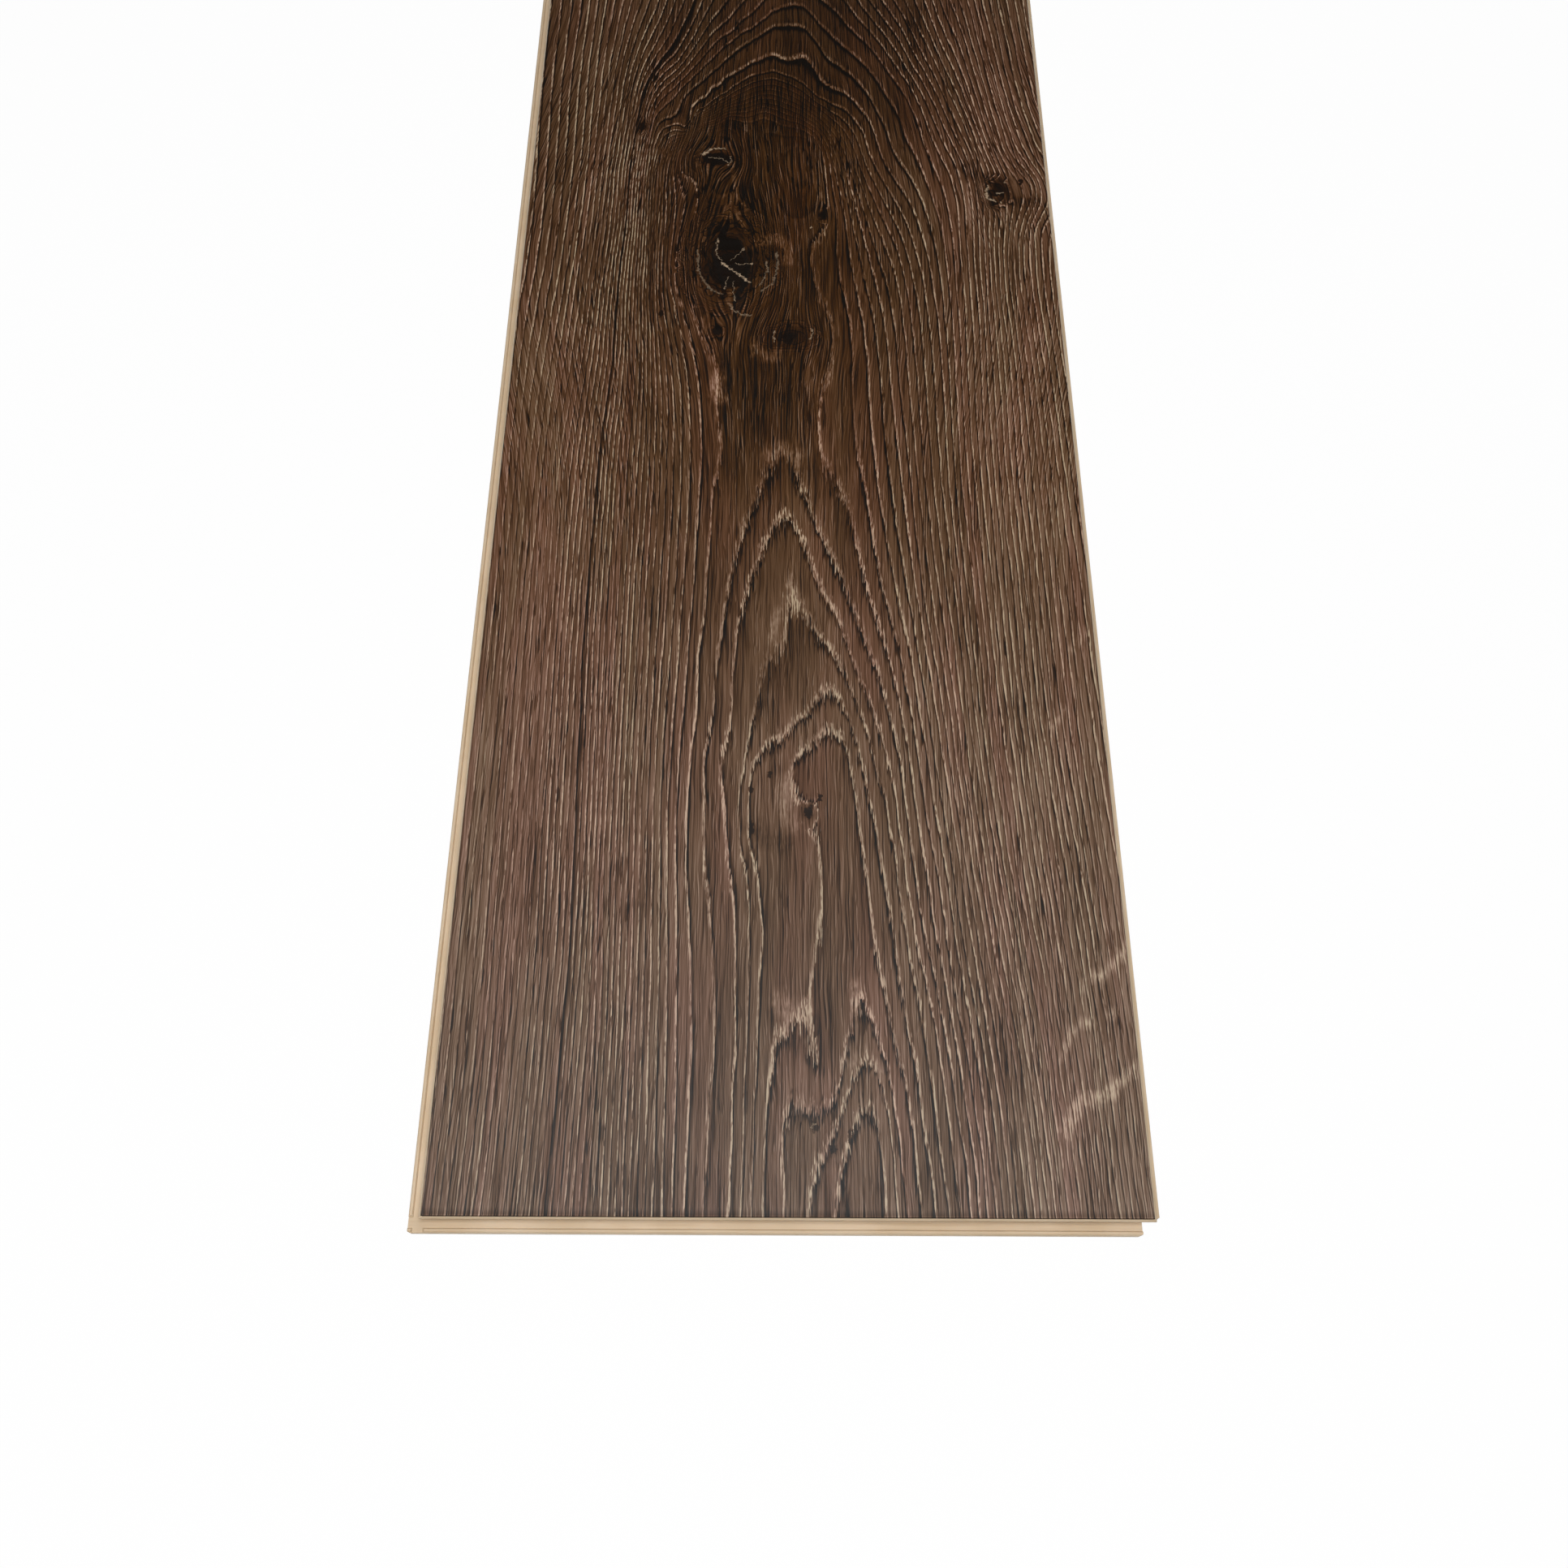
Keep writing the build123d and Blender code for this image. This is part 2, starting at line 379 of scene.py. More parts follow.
def bell(value, middle, spread):
    """Bell curve of height 1."""
    return np.exp(-((value - middle) / spread) ** 2)


def soft_noise(across, along, seed):
    """Random heights from -1 to 1 on a unit lattice, joined by smooth steps."""
    heights = np.random.default_rng(seed).uniform(-1, 1, (256, 256))
    column = np.floor(across).astype(int)
    row = np.floor(along).astype(int)
    a = smooth(across - column, 0, 1)
    b = smooth(along - row, 0, 1)

    def height(rows_on, columns_on):
        """Height at a corner of the lattice, which repeats past its edge."""
        return heights[(row + rows_on) % 256, (column + columns_on) % 256]

    near = height(0, 0) * (1 - a) + height(0, 1) * a
    far = height(1, 0) * (1 - a) + height(1, 1) * a
    return near * (1 - b) + far * b


def ring_places():
    """Places with a known ring count: the traced rings, the plain wood, the edges and the far flames."""
    known = [(x, y, ring) for ring, places in growth_rings + plain_wood for x, y in places]
    for y, (left, right) in edge_rings.items():
        known += [(-face_x, y, left), (face_x, y, right)]
    for ring, (apex, half_width) in far_flames.items():
        # A flame's legs open with the square root of the way from its apex
        for share in (0, 0.08, 0.3, 0.6, 1):
            y = apex + share * (face_y - apex)
            reach = half_width * math.sqrt(share)
            sides = (-1, 1) if share else (1,)
            known += [(far_axis + side * reach, y, ring) for side in sides]
    return np.array(known, dtype=float)


def thin_plate(known, across, along):
    """Thin-plate spline close to the known ring counts, with lengths along the grain pressed together.

    Each known place adds a bump of r squared times log r, over a sloping plane.
    """
    squeeze = np.array([1 / 100, 0.4 / 100])
    slack = 2e-4             # lets the spline pass a little beside a known count
    centres = known[:, :2] * squeeze

    def bumps(places):
        """r squared times log r, from each place to each known one."""
        square = ((places[:, None, :] - centres[None, :, :]) ** 2).sum(axis=2)
        return 0.5 * square * np.log(square + 1e-12)

    def plane(places):
        """Terms of a sloping plane: one, the way across and the way along."""
        return np.column_stack([np.ones(len(places)), places])

    count = len(known)
    system = np.zeros((count + 3, count + 3))
    system[:count, :count] = bumps(centres) + slack * np.eye(count)
    system[:count, count:] = plane(centres)
    system[count:, :count] = plane(centres).T
    weights = np.linalg.solve(system, np.append(known[:, 2], np.zeros(3)))
    places = np.column_stack([across.ravel(), along.ravel()]) * squeeze
    parts = np.array_split(places, 16)
    heights = [bumps(part) @ weights[:count] + plane(part) @ weights[count:] for part in parts]
    return np.concatenate(heights).reshape(across.shape)


def row_places():
    """Rows along the film, crowded at knots and flames and packed at the pressed ends.

    The rows share out evenly the running sum of how crowded each place is.
    """
    even = np.linspace(-face_y, face_y, 6001)
    ends = [(end_crowding, -face_y, end_press), (end_crowding, face_y, end_press)]
    crowding = np.ones_like(even)
    for gain, middle, spread in row_crowding + ends:
        crowding += gain * bell(even, middle, spread)
    share = np.cumsum(crowding)
    share = (share - share[0]) / (share[-1] - share[0])
    return np.interp(np.linspace(0, 1, rows), share, even)


def along_film(stops):
    """Values given at places along the film, joined by straight lines."""
    return np.interp(along, list(stops), list(stops.values()))


def patches(listed):
    """Sum of soft patches: each is its strength times a bell across times a bell along."""
    return sum(gain * bell(across, x, wide) * bell(along, y, long) for gain, x, wide, y, long in listed)


def ribbon(across, along, places, half_width):
    """1 on a ribbon along the places, falling to 0 outside its half width.

    The fall goes by the distance to the nearest straight run between two places.
    """
    nearest = np.full(across.shape, 1e9)
    for (x0, y0), (x1, y1) in zip(places, places[1:]):
        run = np.array([x1 - x0, y1 - y0])
        share = np.clip(((across - x0) * run[0] + (along - y0) * run[1]) / (run @ run), 0, 1)
        gap = np.hypot(across - x0 - share * run[0], along - y0 - share * run[1])
        nearest = np.minimum(nearest, gap)
    return 1 - smooth(nearest, half_width * 0.5, half_width * 1.6)


def ring_slope(ring):
    """Slope of the ring count across and along, with lengths along the grain counted short.

    Fibres draw each mark out along the grain, by as many times as grain_draw says.
    """
    slope_along, slope_across = np.gradient(ring, along[:, 0], across[0])
    return slope_across, grain_draw * slope_along


def ring_width(ring):
    """Width of a ring in mm: one over its slope."""
    return np.clip(1 / np.hypot(*ring_slope(ring)), 1.2, 60.0)


across, along = np.meshgrid(np.linspace(-face_x, face_x, columns), row_places())

# Fibres run along the film, bulge round the heart, and part round each knot
fibre_across = across / (1 + 0.26 * bell(along, -205, 95))
ring_clean = thin_plate(ring_places(), across, along)
ring = ring_clean + ring_waver * soft_noise(across / 9 + 40, along / 55 + 40, 3) / ring_width(ring_clean)
knot_black = np.zeros_like(across)
halo = np.zeros_like(across)
for order, (x, y, half_width, half_length, black, parting) in enumerate(knots):
    side = (across - x) / half_width
    end = (along - y) / half_length
    wobble = 0.16 * soft_noise(across / 2.6 + order * 9, along / 2.6 + order * 5, 20 + order)
    reach = np.hypot(side, end) + wobble
    fibre_across -= 0.8 * parting * (across - x) * np.exp(-(side / 1.7) ** 2 - (end / 2.6) ** 2)
    swirl = min(parting, 1) * (1 - smooth(reach, 1.1, 1.1 + 0.8 * parting))
    middle_ring = ring[np.unravel_index(np.argmin(reach), ring.shape)]
    ring = ring * (1 - swirl) + (middle_ring + reach * half_width / 2.0) * swirl
    knot_black = np.maximum(knot_black, black * (1 - smooth(reach, 0.80, 1.12)))
    halo = np.maximum(halo, min(parting, 1) * (1 - smooth(reach, 1.0, 2.4)))
pitch = ring_width(ring)
# Tips of flames and arches, where a ring's line crosses the fibres: 1 there, 0 where it runs along them
slope_across, slope_along = ring_slope(ring_clean)
tip = slope_along ** 2 / (slope_across ** 2 + slope_along ** 2 + 1e-9)
fibre_across += 0.5 * soft_noise(across / 14, along / 80, 1) + 0.2 * soft_noise(across / 5, along / 40, 2)

# Slow shade of the print: darker towards the heart and the arches above it, lighter at both ends.
# The fall from the near end to the middle is partly painted shade, where the near lamp's light falls off.
shade = along_film(shade_along) + patches(shade_patches)
flank = smooth(np.abs(across), 55, 95)
shade += middle_shade * (1 - flank) + upper_flank_shade * flank * smooth(along, -460, -340)
shade += right_flank_shade * smooth(across, 60, 90) * (1 - 0.8 * smooth(along, -540, -460))
heart = (1 - smooth(ring_clean, 14.75, 15.05)) * smooth(along, -322, -312) * (1 - smooth(along, -70, -20))
heart *= 1 - halo
# Pale rows of the rings: fainter at the near end's corners, in the arches and by the knots, and stronger
# on the upper flanks
ridge = 1 - 0.5 * smooth(-along, 470, 560) * smooth(np.abs(across - 8), 58, 85)
ridge -= 0.2 * smooth(along, -165, -130) * bell(across, -3, 45)
ridge += 0.35 * smooth(along, -290, -220) * smooth(np.abs(across), 45, 65)
ridge *= 1 - 0.4 * bell(along, -240, 90) * bell(across, -8, 45)
ridge *= 1 - 0.8 * halo
# The ring lines are faint in the plain heart, in the crowded arches over it and on the calm left flank
calm = (1 - smooth(across, -95, -80)) * smooth(along, -570, -500) * (1 - smooth(along, -290, -230))
crowded = smooth(along, -165, -145) * (1 - smooth(ring_clean, 21.5, 24))
figure = (1 - 0.85 * heart) * (1 - 0.65 * crowded * (1 - heart)) * (1 - 0.45 * calm)
blush = patches(blush_patches)
richness = along_film(richness_along) + patches(richness_patches)
pale = sum(strength * ribbon(across, along, places, wide) for wide, strength, places in ribbons)
from_end = face_y - np.abs(along)
pressed = 1 - smooth(from_end, end_press - 0.5, end_press)

# Embossing: the film dips at knots and at the pressed ends, and swells and sinks gently between
dip = swell_depth * (1 + soft_noise(across / 22, along / 90, 7))
dip += knot_depth * knot_black + halo_depth * halo
dip += ripple_depth * (1 - np.cos(2 * np.pi * ring))
dip = dip * (1 - pressed) + end_press_depth * pressed
dip = dip * smooth(from_end, 0, 0.4) * smooth(face_x - np.abs(across), 0, 0.8)
top = np.stack([across, along, film_top - dip], axis=2).reshape(-1, 3)


def film_mesh():
    """Closed film: the grid on top, four sloping sides down to the foot, and an underside of strips.

    The rim of the grid, taken once round, is moved out and down by the film's thickness to make the foot.
    """
    index = np.arange(rows * columns).reshape(rows, columns)
    rim = np.concatenate([index[0, :-1], index[:-1, -1], index[-1, :0:-1], index[:0:-1, 0]])
    foot = top[rim] * [foot_x / face_x, foot_y / face_y, 0] + [0, 0, film_foot]
    under = rows * columns + np.arange(len(rim))
    quads = np.stack([index[:-1, :-1], index[:-1, 1:], index[1:, 1:], index[1:, :-1]], axis=2)
    quads = quads.reshape(-1, 4)
    sides = np.stack([under, np.roll(under, -1), np.roll(rim, -1), rim], axis=1)
    near = under[:columns]
    right = under[columns - 1:columns + rows - 1]
    far = under[columns + rows - 2:2 * columns + rows - 2]
    left = np.append(under[0], under[:2 * columns + rows - 4:-1])
    strips = np.stack([left[1:-2], left[2:-1], right[2:-1], right[1:-2]], axis=1)
    near_cap = [left[1], right[1], *near[::-1]]
    far_cap = [right[-2], left[-2], *far[::-1]]
    faces = [*quads.tolist(), *sides.tolist(), *strips.tolist(), near_cap, far_cap]
    mesh = bpy.data.meshes.new("decor_film")
    mesh.from_pydata((np.concatenate([top, foot]) * mm).tolist(), [], faces)
    mesh.shade_smooth()
    mesh.set_sharp_from_angle(angle=math.radians(25))

    # Bake map: the face fills the square, with the sides and the underside in strips along its margins
    margin = 0.012
    u = margin + (1 - 2 * margin) * (across / face_x + 1) / 2
    v = 2 * margin + (1 - 3 * margin) * (along / face_y + 1) / 2
    face_uv = np.stack([u, v], axis=2).reshape(-1, 2)
    rim_uv = face_uv[rim]
    out = np.array([0.2 * margin, 0.5 * margin])
    corner = np.sign(rim_uv - 0.5) * (np.abs(top[rim][:, :2]) > [face_x - 1e-6, face_y - 1e-6])
    inner = rim_uv + corner * out * 0.6
    outer = rim_uv + corner * out * 3
    sides_uv = np.stack([outer, np.roll(outer, -1, 0), np.roll(inner, -1, 0), inner], axis=1).reshape(-1, 2)
    foot_uv = rim_uv * [1, 0.5 * margin]
    strips_uv = foot_uv[strips.ravel() - rows * columns]
    caps_uv = foot_uv[np.array(near_cap + far_cap) - rows * columns]
    corners = np.concatenate([face_uv[quads.ravel()], sides_uv, strips_uv, caps_uv])
    mesh.uv_layers.new(name="OFBake").uv.foreach_set("vector", corners.astype(np.float32).ravel())

    def carry(name, values, kind="FLOAT", added=0.0):
        """Stores values of the grid's points on the mesh; the foot takes the rim's, plus what is added."""
        flat = values.reshape(rows * columns, -1)
        stored = np.concatenate([flat, flat[rim] + added]).astype(np.float32)
        field = "value" if kind == "FLOAT" else "vector"
        mesh.attributes.new(name, kind, "POINT").data.foreach_set(field, stored.ravel())

    carried = {
        "ring": ring, "pitch": pitch, "tip": tip, "figure": figure, "ridge": ridge, "heart": heart,
        "knot": knot_black, "halo": halo, "pale": pale, "shade": shade, "richness": richness,
        "blush": blush, "from_end": from_end,
    }
    for name, values in carried.items():
        carry(name, values)
    # The cut is counted down the sides, faster on the long ones, which show more of the cream base
    on_side = np.abs(top[rim][:, :1]) > face_x - 1e-6
    carry("cut", 0 * along, added=np.where(on_side, side_cut, end_cut))
    carry("fibre", np.stack([fibre_across, along, 0 * along], axis=2), "FLOAT_VECTOR")
    return mesh


wood_tones = [
    (0.00, (13, 7, 3)),
    (0.15, (36, 20, 8)),
    (0.35, (70, 46, 27)),
    (0.55, (108, 80, 61)),
    (0.75, (147, 120, 103)),
    (1.00, (192, 169, 146)),
]
red_tint = (1.06, 0.97, 0.985, 1)
olive_tint = (0.975, 1.01, 0.955, 1)
crack_cream = (186, 160, 130)
dark_seam = 33           # ring on the left whose dark line is the strongest
last_flame = 16          # rings below this count make the flames at the near end
first_arch = 24          # rings from this count on make the arches over the heart
wear_gloss = 0.35        # specular level of the clear wear layer
pore_depth = 0.06        # mm

# Sizes of the marks that run with the fibres, in mm across and along
wave_size = (2.8, 20)    # slow waver of the fibres
wave_reach = 1.2         # mm
jag_size = (0.45, 8)     # jags of a ring's line at the tip of a flame
dash_size = (0.5, 3.4)   # dashes that break a row of pores
fading_size = (7, 42)    # stretches where the rows of pores fade
cluster_size = (4, 50)   # clusters of dark pores
pore_size = (0.5, 13)    # dark pores
pore_side = 0.32         # mm from a dark pore to the painted glint on its side
line_size = (0.75, 55)   # long dark fibres
streak_size = (0.5, 24)  # fine streaks
broad_size = (22, 120)   # broad clouds
tint_size = (14, 90)     # patches of reddish and olive brown

# Tone of plain wood on the scale of wood_tones, and what each mark adds to it
plain_tone = 0.585
row_tone = 0.54          # pale row of pores
ring_end_tone = -0.50    # dark line at a ring's end
seam_tone = -0.32        # the strongest dark line
late_tone = -0.12        # wood towards a ring's end
# Dark pores: partly the print's pores, partly painted shade in their embossed dents
pore_tone = -0.31
glint_tone = 0.16        # painted glint on one side of an embossed pore
streak_tone = 0.43
line_tone = -0.17        # long dark fibre in a narrow ring
wide_line_tone = -0.21   # the same in a wide ring
broad_tone = 0.13
heart_tone = -0.055
halo_tone = -0.04        # wood round a knot
ribbon_tone = 0.11       # pale ribbon
ribbon_dash_tone = 0.16  # dashes in a pale ribbon
knot_blacking = 0.92     # share of the tone that a black mark takes away
end_tone = -0.10         # painted shade on the pressed end, for the duller reflection of its slope
brink_highlight_tone = 0.08        # painted highlight along the brink
cut_tone = -0.34         # dark cut of the film

# Cracks and pale streaks of the knots: half width, how strong, and places, in mm across and along
knot_cracks = [
    (0.50, 1.0, [(-29, -214.5), (-22, -220.5), (-17, -225.5)]),
    (0.28, 0.7, [(-31, -200.5), (-31.5, -209), (-29, -213.5)]),
    (0.24, 0.6, [(-25, -213), (-19.5, -206)]),
    (0.26, 0.7, [(-23.5, -215), (-16, -215)]),
    (0.26, 0.6, [(-26, -222), (-27.5, -229)]),
    (0.26, 0.6, [(-24, -225), (-23, -235.5)]),
    (0.35, 0.35, [(-9.7, -213.7), (-9.4, -218.2), (-10.6, -223.3), (-12.9, -227.4)]),
    (0.45, 0.30, [(-5.5, -208.6), (-5.2, -214), (-5.8, -220.4), (-7.1, -226.2), (-12.2, -230.3)]),
    (0.45, 0.30, [(-39.4, -207.6), (-38.8, -218.8), (-36.6, -224.6), (-32.7, -230.3), (-28.2, -231.9)]),
    (0.45, 0.40, [(-25.4, -237.7), (-23.4, -241.2), (-20.2, -243.4), (-16.4, -243.8)]),
    (0.85, 0.9, [(-38.6, -150), (-36.8, -148.6)]),
    (0.34, 0.8, [(-36.5, -147.5), (-33, -146), (-29, -146.2)]),
    (0.30, 0.8, [(-35.5, -151.5), (-30, -152.6), (-27.5, -154.6)]),
    (0.26, 0.6, [(-26.6, -151), (-26, -154), (-27.5, -157)]),
    (0.55, 0.9, [(87.6, -167.5), (86, -172.5), (87.6, -175), (90.4, -176.3)]),
    (0.34, 0.7, [(91, -171.6), (94.4, -171)]),
    (0.40, 0.8, [(95.3, -164.4), (95.5, -165)]),
    (0.45, 0.9, [(92.7, -177), (92.9, -177.4)]),
    (0.30, 0.5, [(-6, -252.5), (-6.6, -255), (-6, -258)]),
    (0.32, 0.5, [(9, -250.5), (9.6, -253), (8.4, -256.5)]),
    (0.30, 1.0, [(9.6, -193.1), (9.8, -193.8)]),
    (0.30, 0.5, [(7, -581.2), (8.4, -580.2)]),
]
# Rims of the large knots: middle across and along, half width, half length, how dark
knot_rims = [
    (-26.0, -212.5, 12.3, 18.0, 0.7),
    (-26.0, -212.5, 14.6, 20.5, 0.25),
    (-26.0, -212.5, 10.4, 15.4, 0.3),
    (1.0, -255.4, 9.4, 5.6, 0.4),
    (91.6, -170.5, 5.4, 7.2, 0.5),
]
# Black cores of the knots and small pits: middle across and along, half width, half length, how black
pits = [
    (-25.2, -218.4, 8.4, 10.2, 1.0),
    (-32.4, -152.6, 6.4, 3.6, 1.0),
    (92.4, -169.4, 3.2, 4.4, 0.9),
    (-0.2, -255.2, 2.8, 2.6, 1.0),
    (14.5, -186.4, 2.0, 2.5, 1.0),
    (-30.0, -252.4, 2.2, 2.4, 1.0),
    (-66.5, -133.0, 1.7, 2.9, 0.9),
    (-40.2, -175.0, 1.3, 2.1, 0.8),
    (-53.8, -243.4, 1.1, 1.8, 0.8),
    (102.3, -164.4, 1.0, 1.7, 0.9),
    (6.7, -471.8, 1.5, 2.2, 0.9),
    (10.8, -465.8, 0.8, 1.5, 0.8),
    (-7.0, -457.0, 0.8, 1.3, 0.7),
    (-13.7, -463.0, 0.8, 1.5, 0.7),
    (-13.2, -477.5, 0.9, 2.4, 0.8),
    (7.9, -581.0, 1.2, 1.7, 0.6),
    (19.6, -584.0, 0.8, 2.6, 0.6),
    (14.2, -588.0, 1.0, 1.2, 0.7),
]


def wobbled(finish, place):
    """Places that a fine noise moves to and fro, so that marks drawn on them get uneven outlines."""
    noise = finish.node("TexNoise", {"Vector": place, "Scale": 0.7, "Detail": 2.0}).outputs["Color"]
    noise = finish.node("VectorMath", {0: noise, 1: (0.5, 0.5, 0.5)}, operation="SUBTRACT").outputs[0]
    return finish.shift(place, noise, (3.0, 3.0, 0.0))


def oval(finish, place, x, y, half_width, half_length):
    """Distance from an oval's middle, as a share of its half width and half length: 1 on the oval."""
    scale = np.array([1 / half_width, 1 / half_length, 0.0])
    start = -scale * [x, y, 0.0]
    inputs = {0: place, 1: scale.tolist(), 2: start.tolist()}
    side = finish.node("VectorMath", inputs, operation="MULTIPLY_ADD").outputs[0]
    return finish.node("VectorMath", {0: side}, operation="LENGTH").outputs["Value"]


def darkest_mark(finish, place):
    """How black the nearest pit or rim is: a pit is full inside its oval, a rim is a thin line on it."""
    darkest = 0.0
    for x, y, half_width, half_length, black in pits:
        brink = min(0.25, 0.5 / half_width)
        reach = oval(finish, place, x, y, half_width, half_length)
        mark = finish.step(reach, 1 - brink, 1 + brink, black, 0.0)
        darkest = finish.math("MAXIMUM", mark, darkest)
    for x, y, half_width, half_length, dark in knot_rims:
        reach = oval(finish, place, x, y, half_width, half_length)
        off = finish.math("ABSOLUTE", finish.sum(reach, -1.0))
        mark = finish.step(off, 0.1 / half_width, 0.8 / half_width, dark, 0.0)
        darkest = finish.math("MAXIMUM", mark, darkest)
    return darkest


def cracks(finish, place):
    """Pale cracks: how near a place is to the nearest straight run of each crack, as a broken soft line."""
    nearest = 0.0
    for wide, strength, places in knot_cracks:
        for (x0, y0), (x1, y1) in zip(places, places[1:]):
            run = np.array([x1 - x0, y1 - y0, 0.0])
            start = (x0, y0, film_top)
            way = finish.node("VectorMath", {0: place, 1: start}, operation="SUBTRACT").outputs[0]
            inputs = {0: way, 1: (run / (run @ run)).tolist()}
            share = finish.node("VectorMath", inputs, operation="DOT_PRODUCT").outputs["Value"]
            share = finish.node("Clamp", {0: share}).outputs[0]
            inputs = {0: run.tolist(), "Scale": share}
            on_run = finish.node("VectorMath", inputs, operation="SCALE").outputs[0]
            gap = finish.node("VectorMath", {0: way, 1: on_run}, operation="DISTANCE").outputs["Value"]
            mark = finish.step(gap, wide * 0.3, wide * 1.3, strength, 0.0)
            nearest = finish.math("MAXIMUM", mark, nearest)
    return finish.times(nearest, finish.step(finish.grain(place, (1.1, 1.1), 12), 0.3, 0.55, 0.35, 1.0))


def ring_marks(finish, fibre, wave):
    """Marks of the growth rings: a pale row of pores at the start, then darker wood up to a dark line.

    A ring's line drifts with the fibres' waver, and it is jagged where it crosses them at a flame's tip.
    The marks' widths are in mm: the way into the ring and the way ahead to the next one are measured.
    """
    pitch = finish.read("pitch")
    tip = finish.read("tip")
    ring = finish.read("ring")
    jag = finish.sum(finish.grain(fibre, jag_size, 2), -0.5)
    sway = finish.times(finish.step(tip, 0.1, 0.7, 0.12, 1.0), finish.step(pitch, 1.5, 9.0, 1.5, 4.0))
    sway = finish.times(sway, finish.step(ring, last_flame, first_arch, 1.0, 0.12))
    wander = finish.times(wave, finish.step(tip, 0.2, 0.8, 0.8, 0.25))
    drift = finish.sum(wander, finish.times(jag, sway))
    drift = finish.times(drift, finish.read("figure"), finish.step(finish.read("halo"), 0.0, 0.8, 1.0, 0.2))
    count = finish.sum(ring, finish.math("DIVIDE", drift, pitch))
    phase = finish.math("FRACT", count)
    inside = finish.times(phase, pitch)
    ahead = finish.math("SUBTRACT", pitch, inside)
    chance = finish.node("TexWhiteNoise", {"W": finish.math("FLOOR", count)}, noise_dimensions="1D")
    chances = finish.node("SeparateColor", {0: chance.outputs["Color"]}).outputs

    # Row of pores: wider at a tip, in dashes, faded in stretches, and each ring as bright as chance has it
    row_width = finish.math("MINIMUM", finish.sum(0.45, finish.times(pitch, 0.12)), 1.25)
    row_width = finish.times(row_width, finish.step(tip, 0.0, 1.0, 1.0, 0.55))
    tip_share = finish.step(ring, last_flame, first_arch, 0.11, 0.06)
    row_width = finish.sum(row_width, finish.times(tip, finish.math("MINIMUM", pitch, 8.0), tip_share))
    start = finish.step(inside, 0.0, 0.15)
    stop = finish.step(finish.math("DIVIDE", inside, row_width), 0.45, 1.0, 1.0, 0.0)
    dash = finish.step(finish.grain(fibre, dash_size, 3), 0.40, 0.58)
    broken = finish.step(tip, 0.1, 0.6, 0.6, 0.85)
    dashed = finish.sum(1.0, finish.times(broken, finish.sum(dash, -1.0)))
    faded = finish.step(finish.grain(fibre, fading_size, 4), 0.34, 0.60, 0.45, 1.0)
    own = finish.step(chances[0], 0.0, 1.0, 0.65, 1.15)
    own = finish.math("MAXIMUM", own, finish.times(finish.math("LESS_THAN", count, last_flame), 0.85))
    narrow = finish.step(pitch, 4.0, 9.0, 1.3, 0.86)
    row = finish.times(start, stop, dashed, faded, own, narrow, finish.read("ridge"))

    # Dark line at the ring's end, with one strong seam on the left
    end_width = finish.math("MINIMUM", finish.sum(0.1, finish.times(pitch, 0.2)), 2.8)
    end = finish.step(finish.math("DIVIDE", ahead, end_width), 0.1, 1.0, 1.0, 0.0)
    end = finish.times(end, finish.step(pitch, 4.2, 8.0, 1.0, 0.22))
    end = finish.times(end, finish.step(chance.outputs["Value"], 0.0, 1.0, 0.6, 1.0))
    in_seam = {0: count, 1: dark_seam - 0.5, 2: 0.5}
    seam = finish.node("Math", in_seam, operation="COMPARE").outputs[0]
    left = finish.math("LESS_THAN", finish.node("SeparateXYZ", {0: fibre}).outputs["X"], 0.0)
    seam = finish.times(seam, left, finish.step(ahead, 0.4, 1.5, 1.0, 0.0))
    late = finish.times(phase, finish.step(pitch, 2.5, 6.0))
    near_line = finish.step(finish.math("MINIMUM", inside, ahead), 0.5, 1.1, 1.0, 0.35)
    return {"row": row, "dash": dash, "end": end, "seam": seam, "late": late, "near_line": near_line,
            "tint": chances[1], "pitch": pitch}


def fibre_marks(finish, fibre, near_line):
    """Fibre marks: clustered dark pores with a painted glint beside each, long dark fibres and fine streaks."""
    cluster = finish.step(finish.grain(fibre, cluster_size, 9), 0.36, 0.60, 0.4, 1.0)
    # Dark pores, partly printed and partly painted shade in their embossed dents, with a painted glint on one side
    pore = finish.step(finish.grain(fibre, pore_size, 5), 0.53, 0.62)
    beside = finish.node("VectorMath", {0: fibre, 1: (-pore_side, 0.0, 0.0)}, operation="ADD").outputs[0]
    glint = finish.step(finish.grain(beside, pore_size, 5), 0.53, 0.62)
    glint = finish.times(glint, cluster, finish.sum(1.0, finish.times(pore, -1.0)))
    pore = finish.times(pore, cluster, near_line)
    line = finish.step(finish.grain(fibre, line_size, 6), 0.54, 0.66)
    streak = finish.sum(finish.grain(fibre, streak_size, 10), -0.5)
    return {"pore": pore, "glint": glint, "line": line, "streak": streak}


